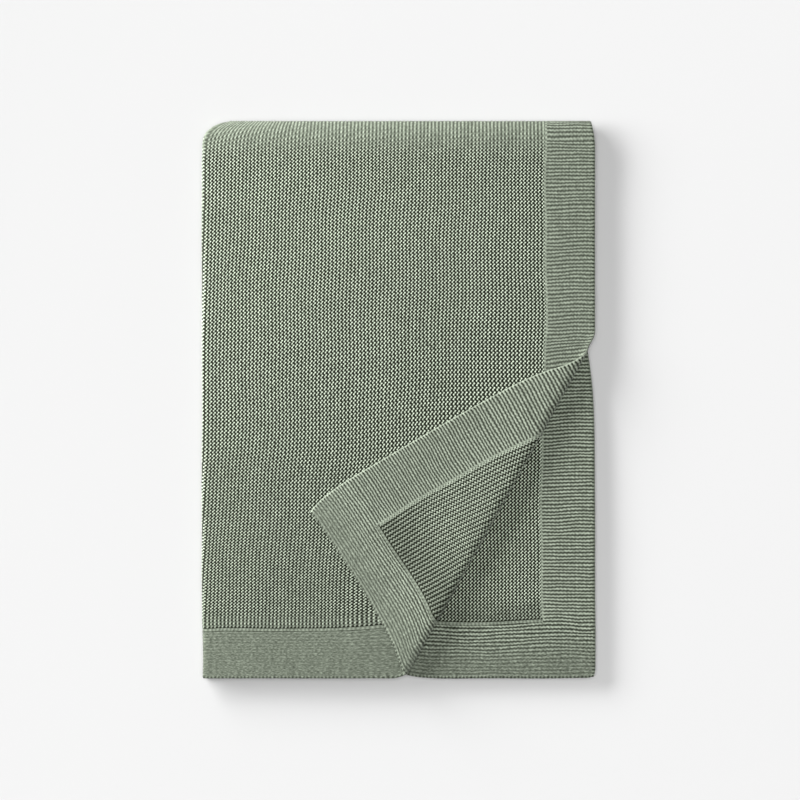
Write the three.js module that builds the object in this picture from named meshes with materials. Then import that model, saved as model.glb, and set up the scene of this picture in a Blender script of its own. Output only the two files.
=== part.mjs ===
import * as THREE from 'three';

// A knit throw blanket, folded in half across its width, then in half along its length,
// and laid down flat. The lower right corner of the top layer is turned back over the rest.
//
// Millimetres, +Z up. +X runs across the folded throw and +Y along it, towards the round
// fold that wraps all its layers. The origin is on the ground under the middle.
//
// The cloth is one sheet. A point of it is named by two lengths measured on the sheet:
// across, from the lengthwise fold to a side edge, positive in the top and bottom layers,
// along, from the crosswise fold to an end, positive in the top and second layers.

// The folded throw as it lies
const FOLDED_WIDTH = 635;
const FOLDED_LENGTH = 899;

// The cloth
const THICKNESS = 4.4;
const BORDER_THICKNESS = 3.6;
const JOIN_THICKNESS = 3;
const BORDER_WIDTH = 80;
const JOIN_HALF_WIDTH = 5;

// From the middle of one layer to the middle of the next, and how that varies
const LAYER_PITCH = 7.2;
const SWELL = 0.8;
const EDGE_SAG = 0.7;
const EDGE_SAG_REACH = 90;

// How much further apart the layers lie at the round fold, and how far that reaches
const LOFT = { bottomPair: 0.4, middlePair: 1.6, topPair: 0.4 };
const LOFT_REACH = 80;

// Half ellipses that the round fold follows in the outer and the inner layers
const ROUND_FOLD = { outerReach: 31, innerReach: 5.5, tipGap: 11 };
const LENGTHWISE_FOLD_REACH = 4.2;

// Lengths of cloth taken up by half of each fold
const ROUND_FOLD_CLOTH = 37;
const LENGTHWISE_FOLD_CLOTH = 6;

// The corner of the round fold beside the lengthwise fold, drawn in as the cloth bunches
const DRAWN_IN = { most: 38, depth: 44, fade: 215, power: 3.5 };
const CORNER_EASE = 5;
const CORNER_EASE_REACH = 80;
const CORNER_SQUEEZE = 0.5;
const FREE_CORNER_DRAW = 6;

// The corner turned back over a line through two points on the outline
const TURN_TOP = new THREE.Vector2(305.5, 76.6);
const TURN_BOTTOM = new THREE.Vector2(17.1, -439.3);
const TURN_REACH = 4.6;
const TURN_RISE = 9.4;
const FLAP_PITCH = 7;
const FLAP_SETTLE = 90;
const FLAP_SHRINK = 0.01;
const FLAP_SHEAR = 0.035;

// The flap's side edge is bowed out, and its end edge is pulled in
const FLAP_BOW = { most: 15.5, reach: 90, power: 0.9, corner: 30, inward: 300 };
const FLAP_PULL = { most: 13, reach: 30, power: 1.3, corner: 80, inward: 500 };

// The cloth is drawn in at both ends of the line that the corner turns on
const SIDE_PINCH = { at: 75, most: 12, lift: 6, above: 19, below: 58, reach: 95 };
const SIDE_PINCH_SHARE = { top: 0.85, flap: 2.1, change: 60 };
const END_PINCH = { at: 14, most: 6, left: 12, right: 24, reach: 60 };

// The other free corners are slightly round
const CORNER_ROUNDING = 2;
const CORNER_ROUNDING_REACH = 12;

// How far the free edges of each layer stand back from the outline
const SET_BACK = { top: 0, second: -0.7, third: 4, bottom: 2.5 };

// The net of flat triangles that is laid on the sheet
const ROUND_FOLD_STEPS = 7;
const LENGTHWISE_FOLD_STEPS = 4;
const ALONG_STEPS = 13;
const ACROSS_STEPS = 11;
const SIDE_PINCH_LINES = [352, 367, 380, 394, 418];
const END_PINCH_LINES = [314, 332, 352];
const TURN_STEPS = 6;
const STEP_GROWTH = 1.35;
const SCORE_CLEARANCE = 0.5;
const HALVINGS = 16;

// Worked out from the sizes above
const HALF_WIDTH = FOLDED_WIDTH / 2;
const HALF_LENGTH = FOLDED_LENGTH / 2;
const OUTER_TIP = HALF_LENGTH - THICKNESS / 2;
const LENGTHWISE_TIP = -HALF_WIDTH + THICKNESS / 2;
const ACROSS_RUN = FOLDED_WIDTH - THICKNESS / 2 - LENGTHWISE_FOLD_REACH;
const ALONG_RUN = FOLDED_LENGTH - THICKNESS / 2 - ROUND_FOLD.outerReach;
const SHEET_HALF_WIDTH = LENGTHWISE_FOLD_CLOTH + ACROSS_RUN;
const SHEET_HALF_LENGTH = ROUND_FOLD_CLOTH + ALONG_RUN;
const TURN_LINE = TURN_BOTTOM.clone().sub(TURN_TOP).normalize();
const TURN_SIDE = new THREE.Vector2(-TURN_LINE.y, TURN_LINE.x);
const TURN_CLOTH = Math.PI * Math.sqrt((TURN_REACH ** 2 + (TURN_RISE / 2) ** 2) / 2);
const TURN_START = -(THICKNESS / 2 + TURN_REACH);

const { lerp, clamp, smoothstep } = THREE.MathUtils;

// The lie of the cloth

// Long, low swells that keep the layers from lying like boards
function swell(x, y, seed) {
  const longWave = Math.sin(x / 88 + y / 260 + seed * 1.7) * Math.cos(y / 121 - seed);
  const crossWave = Math.sin((x - y) / 73 + seed * 2.9);
  return SWELL * (0.65 * longWave + 0.35 * crossWave);
}

// Heights of the middle of each layer over a point on the ground
function layerHeights(x, y) {
  const foldStart = OUTER_TIP - ROUND_FOLD.outerReach;
  const loft = smoothstep(y, foldStart - LOFT_REACH, foldStart);
  const inFromSide = smoothstep(HALF_WIDTH - x, 0, EDGE_SAG_REACH);
  const inFromEnd = smoothstep(HALF_LENGTH + y, 0, EDGE_SAG_REACH);
  const pitch = LAYER_PITCH - EDGE_SAG * (1 - inFromSide * inFromEnd);
  const bottom = THICKNESS / 2;
  const third = bottom + pitch + LOFT.bottomPair * loft + swell(x, y, 1);
  const second = third + pitch + LOFT.middlePair * loft + swell(x, y, 2);
  const top = second + pitch + LOFT.topPair * loft + swell(x, y, 3);
  return { bottom, third, second, top };
}

// How far the drawn-in corner pulls the cloth sideways at a point
function cornerDraw(x, y) {
  const toTop = clamp(1 - (OUTER_TIP - y) / DRAWN_IN.depth, 0, 1);
  const fromLeft = clamp(1 - (x - LENGTHWISE_TIP) / DRAWN_IN.fade, 0, 1);
  const fromRight = clamp(1 - (HALF_WIDTH - x) / DRAWN_IN.depth, 0, 1);
  const foldedCorner = DRAWN_IN.most * toTop ** DRAWN_IN.power * fromLeft ** 2;
  const freeCorner = FREE_CORNER_DRAW * toTop ** 2 * fromRight ** 2;
  return foldedCorner - freeCorner;
}

// How far the cloth is drawn in, and upwards, at the ends of the line that the corner turns on
function turnPinch(x, y) {
  const above = Math.max(y - SIDE_PINCH.at, 0) / SIDE_PINCH.above;
  const below = Math.max(SIDE_PINCH.at - y, 0) / SIDE_PINCH.below;
  const nearSide = Math.exp(-(above ** 2) - below ** 1.15)
    * smoothstep(x, HALF_WIDTH - SIDE_PINCH.reach, HALF_WIDTH);
  const left = Math.max(END_PINCH.at - x, 0) / END_PINCH.left;
  const right = Math.max(x - END_PINCH.at, 0) / END_PINCH.right;
  const nearEnd = Math.exp(-(left ** 2) - right)
    * smoothstep(-y, HALF_LENGTH - END_PINCH.reach, HALF_LENGTH);
  return {
    inward: SIDE_PINCH.most * nearSide,
    upward: SIDE_PINCH.lift * nearSide + END_PINCH.most * nearEnd,
  };
}

// Slow wander of the outline, so that no side is ruled straight
function wander(t, seed) {
  return 0.7 * Math.sin(t / 71 + seed) + 0.5 * Math.sin(t / 29 + 2.3 * seed);
}

// Where a point of the sheet lies before the corner is turned back, seen from above, and
// its share in the two folds: how far round the round fold, and how far out of the four layers
function layFlat(across, along) {
  const roundAngle = (Math.PI / 2) * (1 - clamp(along / ROUND_FOLD_CLOTH, -1, 1));
  const sideAngle = (Math.PI / 2) * (1 - clamp(across / LENGTHWISE_FOLD_CLOTH, -1, 1));
  const outward = (1 + Math.cos(sideAngle)) / 2;
  const alongShare = Math.max(Math.abs(along) - ROUND_FOLD_CLOTH, 0) / ALONG_RUN;
  const acrossShare = Math.max(Math.abs(across) - LENGTHWISE_FOLD_CLOTH, 0) / ACROSS_RUN;
  const setBack = along > 0
    ? (across > 0 ? SET_BACK.top : SET_BACK.second)
    : (across > 0 ? SET_BACK.bottom : SET_BACK.third);
  const seed = along > 0 ? 1 : 2;

  // Both folds open up a little where they cross
  const tipEase = CORNER_EASE * (1 - smoothstep(Math.abs(across), 0, CORNER_EASE_REACH));
  const sideEase = CORNER_EASE * (1 - smoothstep(Math.abs(along), 0, CORNER_EASE_REACH));

  const roundReach = lerp(ROUND_FOLD.innerReach, ROUND_FOLD.outerReach, outward);
  const roundStart = OUTER_TIP - lerp(ROUND_FOLD.tipGap + tipEase, 0, outward) - roundReach;
  const endY = -HALF_LENGTH + setBack * smoothstep(acrossShare, 0, 1);
  let y = lerp(roundStart, endY, alongShare) + roundReach * Math.sin(roundAngle);

  const sideReach = LENGTHWISE_FOLD_REACH + sideEase;
  const endX = HALF_WIDTH - setBack * smoothstep(alongShare, 0, 1);
  let x = lerp(LENGTHWISE_TIP + sideReach, endX, acrossShare) - sideReach * Math.sin(sideAngle);

  x += alongShare * (1 - 0.5 * acrossShare) * wander(y, seed) + cornerDraw(x, y);
  y += alongShare * acrossShare * wander(x, seed + 3);

  const onTop = across > 0 && along > 0;
  const onFlap = smoothstep(SIDE_PINCH.at - y, 0, SIDE_PINCH_SHARE.change);
  const topShare = lerp(SIDE_PINCH_SHARE.top, SIDE_PINCH_SHARE.flap, onFlap);
  const toSide = SHEET_HALF_WIDTH - Math.abs(across);
  const toEnd = SHEET_HALF_LENGTH - Math.abs(along);
  const atCorner = (1 - smoothstep(toSide, 0, CORNER_ROUNDING_REACH))
    * (1 - smoothstep(toEnd, 0, CORNER_ROUNDING_REACH));
  const rounding = onTop ? 0 : CORNER_ROUNDING * atCorner;
  const { inward, upward } = turnPinch(x, y);
  x -= inward * (onTop ? topShare : 1) + rounding;
  y += upward + rounding;
  return { x, y, roundAngle, outward };
}

// Distance of a point in the flat top layer past the start of the turn
function pastTurn(x, y) {
  return (x - TURN_TOP.x) * TURN_SIDE.x + (y - TURN_TOP.y) * TURN_SIDE.y - TURN_START;
}

// How far the turned back cloth is shifted along with one of its edges
function edgeShift(shape, beyond, toEdge, toOtherEdge) {
  const past = 1 - Math.exp(-((beyond / shape.reach) ** shape.power));
  const offCorner = 1 - Math.exp(-toOtherEdge / shape.corner);
  return shape.most * past * offCorner * Math.exp(-toEdge / shape.inward);
}

// Where the turned back corner takes a point of the flat top layer, which is toSide and toEnd
// away from the edges of the sheet
function turnCorner(x, y, toSide, toEnd) {
  const past = pastTurn(x, y);
  if (past <= 0) {
    return { x, y, rise: 0 };
  }
  const beyond = Math.max(past - TURN_CLOTH, 0) * (1 - FLAP_SHRINK);
  const angle = Math.PI * Math.min(past / TURN_CLOTH, 1);
  const bow = edgeShift(FLAP_BOW, beyond, toSide, toEnd);
  const pull = edgeShift(FLAP_PULL, beyond, toEnd, toSide);
  const side = TURN_START + TURN_REACH * Math.sin(angle) - beyond
    - TURN_SIDE.x * bow - TURN_SIDE.y * pull;
  const fromTop = (x - TURN_TOP.x) * TURN_LINE.x + (y - TURN_TOP.y) * TURN_LINE.y;
  const line = fromTop - FLAP_SHEAR * beyond + TURN_LINE.x * bow + TURN_LINE.y * pull;
  const settled = smoothstep(beyond, 0, FLAP_SETTLE);
  const rise = (TURN_RISE * (1 - Math.cos(angle))) / 2 - (TURN_RISE - FLAP_PITCH) * settled;
  return {
    x: TURN_TOP.x + side * TURN_SIDE.x + line * TURN_LINE.x,
    y: TURN_TOP.y + side * TURN_SIDE.y + line * TURN_LINE.y,
    rise,
  };
}

// Middle of the cloth at a point of the sheet
function place(across, along) {
  const flat = layFlat(across, along);
  const onTop = across > 0 && along > 0;
  const toSide = SHEET_HALF_WIDTH - Math.abs(across);
  const toEnd = SHEET_HALF_LENGTH - Math.abs(along);
  const lie = onTop ? turnCorner(flat.x, flat.y, toSide, toEnd)
    : { x: flat.x, y: flat.y, rise: 0 };
  const heights = layerHeights(lie.x, lie.y);
  const upper = lerp(heights.second, heights.top, flat.outward);
  const lower = lerp(heights.third, heights.bottom, flat.outward);
  const level = (upper + lower) / 2 + (Math.cos(flat.roundAngle) * (upper - lower)) / 2;
  return new THREE.Vector3(lie.x, lie.y, level + lie.rise);
}

// Thickness of the cloth: a thinner border all round, and a groove where it joins the field
function thickness(across, along) {
  const toEdge = Math.min(SHEET_HALF_WIDTH - Math.abs(across), SHEET_HALF_LENGTH - Math.abs(along));
  const past = (toEdge - BORDER_WIDTH) / JOIN_HALF_WIDTH;
  return past < 0 ? lerp(JOIN_THICKNESS, BORDER_THICKNESS, Math.min(-past, 1))
    : lerp(JOIN_THICKNESS, THICKNESS, Math.min(past, 1));
}

// The net of flat triangles

// Lines of the net from the middle of the sheet out to one edge. Those where the cloth is drawn
// in take the place of the regular ones beside them.
function netLines(foldCloth, foldSteps, edge, runSteps, pinchLines) {
  const lines = [];
  for (let i = 0; i < foldSteps; i += 1) {
    lines.push((foldCloth * (i + 0.5)) / foldSteps);
  }
  const join = edge - BORDER_WIDTH;
  const start = lines[lines.length - 1];
  for (let i = 1; i < runSteps; i += 1) {
    const line = start + (join - start) * (i / runSteps) ** STEP_GROWTH;
    if (line < pinchLines[0] - 15 || line > pinchLines[pinchLines.length - 1] + 15) {
      lines.push(line);
    }
  }
  lines.push(...pinchLines);
  lines.sort((a, b) => a - b);
  lines.push(join - JOIN_HALF_WIDTH, join, join + JOIN_HALF_WIDTH, (join + edge) / 2, edge);
  return lines;
}

const acrossLines = netLines(
  LENGTHWISE_FOLD_CLOTH, LENGTHWISE_FOLD_STEPS, SHEET_HALF_WIDTH, ACROSS_STEPS, END_PINCH_LINES,
);
const alongLines = netLines(
  ROUND_FOLD_CLOTH, ROUND_FOLD_STEPS, SHEET_HALF_LENGTH, ALONG_STEPS, SIDE_PINCH_LINES,
);
const mirrored = (lines) => [...lines.map((value) => -value).reverse(), ...lines];
const columns = mirrored(acrossLines);
const rows = mirrored(alongLines);

const net = [];
for (const along of rows) {
  for (const across of columns) {
    net.push(new THREE.Vector2(across, along));
  }
}
let netTriangles = [];
for (let row = 0; row < rows.length - 1; row += 1) {
  for (let column = 0; column < columns.length - 1; column += 1) {
    const a = row * columns.length + column;
    const b = a + 1;
    const c = a + columns.length;
    const d = c + 1;
    netTriangles.push([a, b, d], [a, d, c]);
  }
}

// How far from one point of the net to another measure(point) is zero, as a share. It keeps clear
// of both, so that no sliver is cut off.
function zeroShare(measure, from, to, clearance) {
  const rising = measure(to) > measure(from);
  let [low, high] = [0, 1];
  for (let step = 0; step < HALVINGS; step += 1) {
    const middle = (low + high) / 2;
    if ((measure(from.clone().lerp(to, middle)) > 0) === rising) {
      high = middle;
    } else {
      low = middle;
    }
  }
  return clamp((low + high) / 2, clearance, 1 - clearance);
}

// Adds a line of the net where measure(point) is zero, by cutting each triangle that it crosses.
// The line passes points that it would graze at a small distance, so no sliver is cut off.
function scoreNet(measure) {
  const values = net.map((point) => {
    const value = measure(point);
    return (value < 0 ? -1 : 1) * Math.max(Math.abs(value), SCORE_CLEARANCE);
  });
  const cuts = new Map();
  const cutEdge = (a, b) => {
    const key = a < b ? `${a},${b}` : `${b},${a}`;
    if (!cuts.has(key)) {
      const clearance = SCORE_CLEARANCE / Math.abs(values[a] - values[b]);
      const share = zeroShare(measure, net[a], net[b], clearance);
      net.push(net[a].clone().lerp(net[b], share));
      cuts.set(key, net.length - 1);
    }
    return cuts.get(key);
  };
  const kept = [];
  for (const triangle of netTriangles) {
    const positive = triangle.filter((index) => values[index] > 0).length;
    if (positive === 0 || positive === 3) {
      kept.push(triangle);
      continue;
    }
    const odd = triangle.findIndex((index) => (values[index] > 0) === (positive === 1));
    const [tip, left, right] = [0, 1, 2].map((step) => triangle[(odd + step) % 3]);
    const leftCut = cutEdge(tip, left);
    const rightCut = cutEdge(tip, right);
    kept.push([tip, leftCut, rightCut], [leftCut, left, right], [leftCut, right, rightCut]);
  }
  netTriangles = kept;
}

// Lines across the turned back corner, so that the turn is round and the flap settles
function turnMeasure(past) {
  return ({ x: across, y: along }) => {
    if (across <= LENGTHWISE_FOLD_CLOTH || along <= ROUND_FOLD_CLOTH) {
      return -FOLDED_LENGTH;
    }
    const { x, y } = layFlat(across, along);
    return pastTurn(x, y) - past;
  };
}

for (let step = 0; step <= TURN_STEPS; step += 1) {
  scoreNet(turnMeasure((TURN_CLOTH * step) / TURN_STEPS));
}
scoreNet(turnMeasure(TURN_CLOTH + FLAP_SETTLE / 2));

// The sheet made solid

// Unit vector out of the face of the cloth
function faceNormal(across, along) {
  const step = 0.4;
  const acrossWay = place(across + step, along).sub(place(across - step, along));
  const alongWay = place(across, along + step).sub(place(across, along - step));
  return alongWay.cross(acrossWay).normalize();
}

// Share of the cloth's half thickness that is left where the two folds cross and squeeze it
function squeezed(across, along) {
  const offLengthwise = smoothstep(Math.abs(across), LENGTHWISE_FOLD_CLOTH, 4 * LENGTHWISE_FOLD_CLOTH);
  const offRound = smoothstep(Math.abs(along), ROUND_FOLD_CLOTH, 2 * ROUND_FOLD_CLOTH);
  return 1 - CORNER_SQUEEZE * (1 - offLengthwise) * (1 - offRound);
}

// Outer and inner points of the cloth. The face that lies on the ground stays flat, and only
// the side of the cloth that is inside a fold is squeezed.
function skinPoints({ x: across, y: along }) {
  const middle = place(across, along);
  const normal = faceNormal(across, along);
  const half = thickness(across, along) / 2;
  const inside = half * squeezed(across, along);
  const onGround = across > 0 && along < 0;
  const outside = across > 0 ? half : inside;
  const outer = middle.clone().addScaledVector(normal, onGround ? THICKNESS / 2 : outside);
  const inner = middle.clone().addScaledVector(normal, -inside);
  return { outer, inner };
}

// Closed skin of the cloth: its face, its back and the rim that joins them
function clothGeometry() {
  const positions = [];
  const inners = [];
  for (const point of net) {
    const { outer, inner } = skinPoints(point);
    positions.push(outer.x, outer.y, outer.z);
    inners.push(inner.x, inner.y, inner.z);
  }
  positions.push(...inners);
  const count = net.length;
  const indices = [];
  const rim = new Map();
  for (const [a, b, c] of netTriangles) {
    indices.push(a, c, b, a + count, b + count, c + count);
    for (const [from, to] of [[a, b], [b, c], [c, a]]) {
      if (!rim.delete(`${to},${from}`)) {
        rim.set(`${from},${to}`, [from, to]);
      }
    }
  }
  for (const [from, to] of rim.values()) {
    indices.push(from, to, to + count, from, to + count, from + count);
  }
  const geometry = new THREE.BufferGeometry();
  geometry.setAttribute('position', new THREE.Float32BufferAttribute(positions, 3));
  geometry.setIndex(indices);
  geometry.computeVertexNormals();
  return geometry;
}

// The throw
const sageKnit = new THREE.MeshStandardMaterial({ color: 0x87907c, roughness: 0.95, metalness: 0 });
const throwBlanket = new THREE.Mesh(clothGeometry(), sageKnit);
throwBlanket.name = 'throw';

const group = new THREE.Group();
group.add(throwBlanket);
export default group;
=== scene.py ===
"""Knit throw blanket: folded in four layers, with one corner of the top layer turned back."""

import math

import bpy
import numpy as np
from bpy.props import FloatProperty, FloatVectorProperty, PointerProperty
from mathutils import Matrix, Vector


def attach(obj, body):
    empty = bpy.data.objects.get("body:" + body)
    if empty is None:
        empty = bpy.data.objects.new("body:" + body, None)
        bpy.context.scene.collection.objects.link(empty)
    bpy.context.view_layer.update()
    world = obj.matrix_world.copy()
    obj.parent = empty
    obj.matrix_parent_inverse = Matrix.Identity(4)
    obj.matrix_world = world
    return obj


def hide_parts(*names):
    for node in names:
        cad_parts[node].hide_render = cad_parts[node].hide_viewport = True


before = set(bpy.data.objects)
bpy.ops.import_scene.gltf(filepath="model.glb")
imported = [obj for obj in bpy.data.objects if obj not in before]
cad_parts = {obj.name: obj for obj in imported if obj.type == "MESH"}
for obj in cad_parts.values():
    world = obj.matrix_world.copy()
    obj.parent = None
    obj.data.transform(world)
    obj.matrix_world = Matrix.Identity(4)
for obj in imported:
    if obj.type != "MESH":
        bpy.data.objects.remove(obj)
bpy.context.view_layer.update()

bl_info = {
    "name": "Knit Throw Blanket",
    "version": (1, 0, 0),
    "blender": (4, 5, 0),
    "location": "View3D > Sidebar > Knit Throw",
    "description": "Lays a folded knit throw with a turned back corner",
    "category": "Add Mesh",
}

MM = 0.001
TURN = 2 * math.pi

# The folded throw, in millimetres, much as its solid has it
FOLDED_WIDTH = 635
FOLDED_LENGTH = 899
THICKNESS = 4.4
BORDER_THICKNESS = 3.6
JOIN_THICKNESS = 3
BORDER_WIDTH = 80
LOWER_SIDE_BORDER_WIDTH = 86
LOWER_END_BORDER_WIDTH = 92
TURN_BORDER = {"wider": 14, "at": 348, "reach": 75, "rows": 30}
JOIN_HALF_WIDTH = 5
LAYER_PITCH = 7.2
SWELL = {"height": 0.8, "long": 0.65, "cross": 0.35}
EDGE_SAG = 0.7
EDGE_SAG_REACH = 90
LOFT = {"bottom pair": 0.4, "middle pair": 1.6, "top pair": 0.4}
LOFT_REACH = 80
OUTER_REACH = 31
INNER_REACH = 5.5
TIP_GAP = 11
LENGTHWISE_FOLD_REACH = 4.2
ROUND_FOLD_CLOTH = 37
LENGTHWISE_FOLD_CLOTH = 6
DRAWN_IN = {"most": 38, "depth": 44, "fade": 215, "power": 3.5}
CORNER_EASE = 5
CORNER_EASE_REACH = 80
CORNER_SQUEEZE = 0.5
FREE_CORNER_DRAW = 6
TURN_TOP = (305.5, 76.6)
TURN_BOTTOM = (17.1, -439.3)
TURN_REACH = 7.5
TURN_RISE = 12.5
FLAP_PITCH = 7
FLAP_SETTLE = 90
FLAP_SHRINK = 0.002
FLAP_SHEAR = 0.035
SET_BACK = {"top": 0, "second": -0.7, "third": 4, "bottom": 2.5}
FLAP_BOW = {"most": 15.5, "reach": 90, "power": 0.9, "corner": 30, "inward": 300}
FLAP_PULL = {"most": 13, "reach": 30, "power": 1.3, "corner": 80, "inward": 500}
CORNER_ROUNDING = 2
CORNER_ROUNDING_REACH = 12
SIDE_PINCH = {
    "at": 75, "most": 12, "lift": 6, "above": 19, "below": 58, "power": 1.15, "reach": 95,
}
SIDE_PINCH_SHARE = {"top": 0.85, "flap": 2.1, "change": 60}
END_PINCH = {"at": 14, "most": 6, "left": 12, "right": 24, "reach": 60}
LEFT_SET_IN = 1.6
# Wander of the outline: height and length of each wave, and share of its seed
OUTLINE_WANDER = ((0.7, 71, 1), (0.5, 29, 2.3))
END_SEED = 3

HALF_WIDTH = FOLDED_WIDTH / 2
HALF_LENGTH = FOLDED_LENGTH / 2
OUTER_TIP = HALF_LENGTH - THICKNESS / 2
LENGTHWISE_TIP = -HALF_WIDTH + THICKNESS / 2 + LEFT_SET_IN
ACROSS_RUN = FOLDED_WIDTH - THICKNESS / 2 - LENGTHWISE_FOLD_REACH
ALONG_RUN = FOLDED_LENGTH - THICKNESS / 2 - OUTER_REACH
# Cloth from the middle of a fold to the edge
SIDE_EDGE = LENGTHWISE_FOLD_CLOTH + ACROSS_RUN
END_EDGE = ROUND_FOLD_CLOTH + ALONG_RUN
TURN_WAY = [bottom - top for bottom, top in zip(TURN_BOTTOM, TURN_TOP)]
TURN_LINE = [way / math.hypot(*TURN_WAY) for way in TURN_WAY]
TURN_SIDE = (-TURN_LINE[1], TURN_LINE[0])
TURN_CLOTH = math.pi * math.sqrt((TURN_REACH**2 + (TURN_RISE / 2) ** 2) / 2)
TURN_START = -(THICKNESS / 2 + TURN_REACH)

# The knit: stitches from the folds out to the borders, and across each border
COLUMNS = 93
SIDE_BORDER_STITCHES = 14
ROWS = 146
END_BORDER_ROWS = 16
ALL_COLUMNS = COLUMNS + SIDE_BORDER_STITCHES
ALL_ROWS = ROWS + END_BORDER_ROWS
# Height of a row of the top layer, in millimetres, at distances from the round fold
ROW_HEIGHTS = (
    (0, 5.3), (70, 5.4), (110, 5.75), (520, 5.85), (600, 5.35),
    (650, 5.1), (690, 4.85), (810, 4.85), (823, 5.6),
)
ROW_STEPS = 400
EVEN_ROWS_FROM = 200
# How far the columns lean to the right at distances from the round fold, in millimetres, and
# the widths of the cloth over which that dies away
LEAN = (
    (60, 0), (130, 0.5), (232, 3.2), (335, 6.5), (412, 7.5), (540, 8), (630, 13.5), (792, 24),
)
LEAN_ENDS = ((412, 440, 550), (640, 235, 345))
LEAN_END_BELOW = 300
# How the rows climb to the right in the top layer, in rows a column, up to a column, and the
# rows between which that dies away: at the left, and past the later columns
CLIMB = {"a column": 0.2, "columns": 87, "left": (35, 110), "right": (52, 130), "later": (5, 30)}
LEVEL_ROWS = 2
# How far the knit strays, in millimetres: height of each wave, and its length both ways
STRAY = {
    "sideways": ((1.1, 61, 190), (0.8, 23, -97)),
    "lengthways": ((1.8, 57, -230), (1.1, 31, 83)),
}
STRAY_FROM = {"edge": (0, 60), "round fold": (30, 120), "lengthwise fold": (15, 70)}
RIBS_FADE = (8, 80)
# The relief, as shares of the stitch height, and where it changes
RELIEF = {"ribs": 0.7, "gaps": 1.35, "uneven": 0.25, "border": 0.5, "join": 0.3, "stepped": 0.6}
STEP_FADE = (0.1, 0.25)
JOIN_STITCHES = 0.6
EDGE_CALM = 4
ON_GROUND_FROM = -20
SEED = 7

# The mesh: lines to a block, and by each fold the stitches it holds and lines to a block
BLOCK = 8
LENGTHWISE_BLOCKS, ROUND_BLOCKS = (1.3, 1), (8, 2)
FOLD_LINES = (-0.5, 0, 0.5)
SIGNED_COLUMNS = 12
EDGE_KEEP = 0.42
EDGE_ROUNDING = (-0.4, 2)
# How far the fine mesh runs on past what is seen, in millimetres
UNSEEN = {"flap": 28, "turn": 10, "roll": 12, "corner": 22, "top fold": 22, "low fold": 8}

# Brightness of the knit, from 0 in the gaps, where shade is painted, to 1 on the yarn, before it
# is squared
FIELD_LIGHT = {"middle": 0.207, "fold": 0.12, "depth": 0.84, "flat": 0.37}
BACK_LIGHT = {"middle": 0.29, "depth": 0.47, "straighter": 0.25}
RIB_LIGHT = {"middle": 0.46, "fold": 0.16, "join": 0.3}
FACE_BORDER = {"side": 0.425, "end": 0.42, "ridges": 0.25, "streaks": 0.45}
BACK_BORDER = {"side": 0.42, "end": 0.44, "ridges": 0.25, "streaks": 0.35}
DARKEST = 0.02
# The knit pulled smooth over the lengthwise fold and toned down with painted shade: brightness,
# share and stitches
SMOOTH_SHADED_FOLD = {"light": 0.4, "share": 0.45, "stitches": (0.2, 1.8)}
# Changes along the rows: how much, and the rows between which it comes
FLAT_BELOW = (0.4, ROWS - 8, ROWS - 1)
FLAT_ABOVE = (0.16, 0.45 * ROWS, 0.75 * ROWS)
MORE_SLANT = (0.06, 0.5 * ROWS, 0.8 * ROWS)
RIBS_BY_JOIN = (0.65, ROWS - 6, ROWS - 2)
STRAIGHTER = (0.6, ROWS - 20, ROWS - 3)
SLANT = 0.08
RIB_PHASE = 0.3
# The noises over the knit, counted in stitches: scale and detail, or how far each is stretched
UNEVENNESS, FUZZ, MOTTLE = (0.55, 2.0), (2.3, 2.0), (0.05, 3.0)
SLOW_STRETCH, STREAK_STRETCH = (0.12, 0.35, 1), (1.2, 4.0, 1)
STITCH_STRAY, RIDGE_STRAY, BORDER_FUZZ = 0.25, 0.6, 0.1

# The stage, in metres and degrees, and the camera's view in pixels
SIDE_LIGHT = {"far": 2.6, "round": 30, "up": 20.5, "apart": 0.85, "across": 1.1}
SIDE_LIGHTS = 3
LEAST_LIGHT = 0.72
TOP_LIGHT = {"height": 3, "spread": 40}
SKY = {"from": (0.05, 0.3), "low": 0.9}
FLOOR_RINGS = (0.9, 2.0, 5.0, 12.0)
SPOKES = 96
VIEW_PIXELS = 800
PIXEL = 1.612 * MM
VIEW_MIDDLE = (2, -0.5)
FOCUS_HEIGHT = 0.02
SENSOR = 36


# The lie of the cloth. A point of the sheet is named by two lengths in millimetres: across,
# from the lengthwise fold to a side edge, positive in the top and bottom layers, and along,
# from the round fold to an end, positive in the top and second layers.


def lerp(a, b, share):
    return a + (b - a) * share


def smoothstep(value, low, high):
    share = np.clip((value - low) / (high - low), 0, 1)
    return share * share * (3 - 2 * share)


def swell(x, y, seed):
    """Long, low swells that keep the layers from lying like boards."""
    long_wave = np.sin(x / 88 + y / 260 + seed * 1.7) * np.cos(y / 121 - seed)
    cross_wave = np.sin((x - y) / 73 + seed * 2.9)
    return SWELL["height"] * (SWELL["long"] * long_wave + SWELL["cross"] * cross_wave)


def layer_heights(x, y):
    """Heights of the middle of each layer over a point on the ground."""
    fold_start = OUTER_TIP - OUTER_REACH
    loft = smoothstep(y, fold_start - LOFT_REACH, fold_start)
    in_from_side = smoothstep(HALF_WIDTH - x, 0, EDGE_SAG_REACH)
    in_from_end = smoothstep(HALF_LENGTH + y, 0, EDGE_SAG_REACH)
    pitch = LAYER_PITCH - EDGE_SAG * (1 - in_from_side * in_from_end)
    bottom = THICKNESS / 2
    third = bottom + pitch + LOFT["bottom pair"] * loft + swell(x, y, 1)
    second = third + pitch + LOFT["middle pair"] * loft + swell(x, y, 2)
    top = second + pitch + LOFT["top pair"] * loft + swell(x, y, 3)
    return bottom, third, second, top


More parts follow.
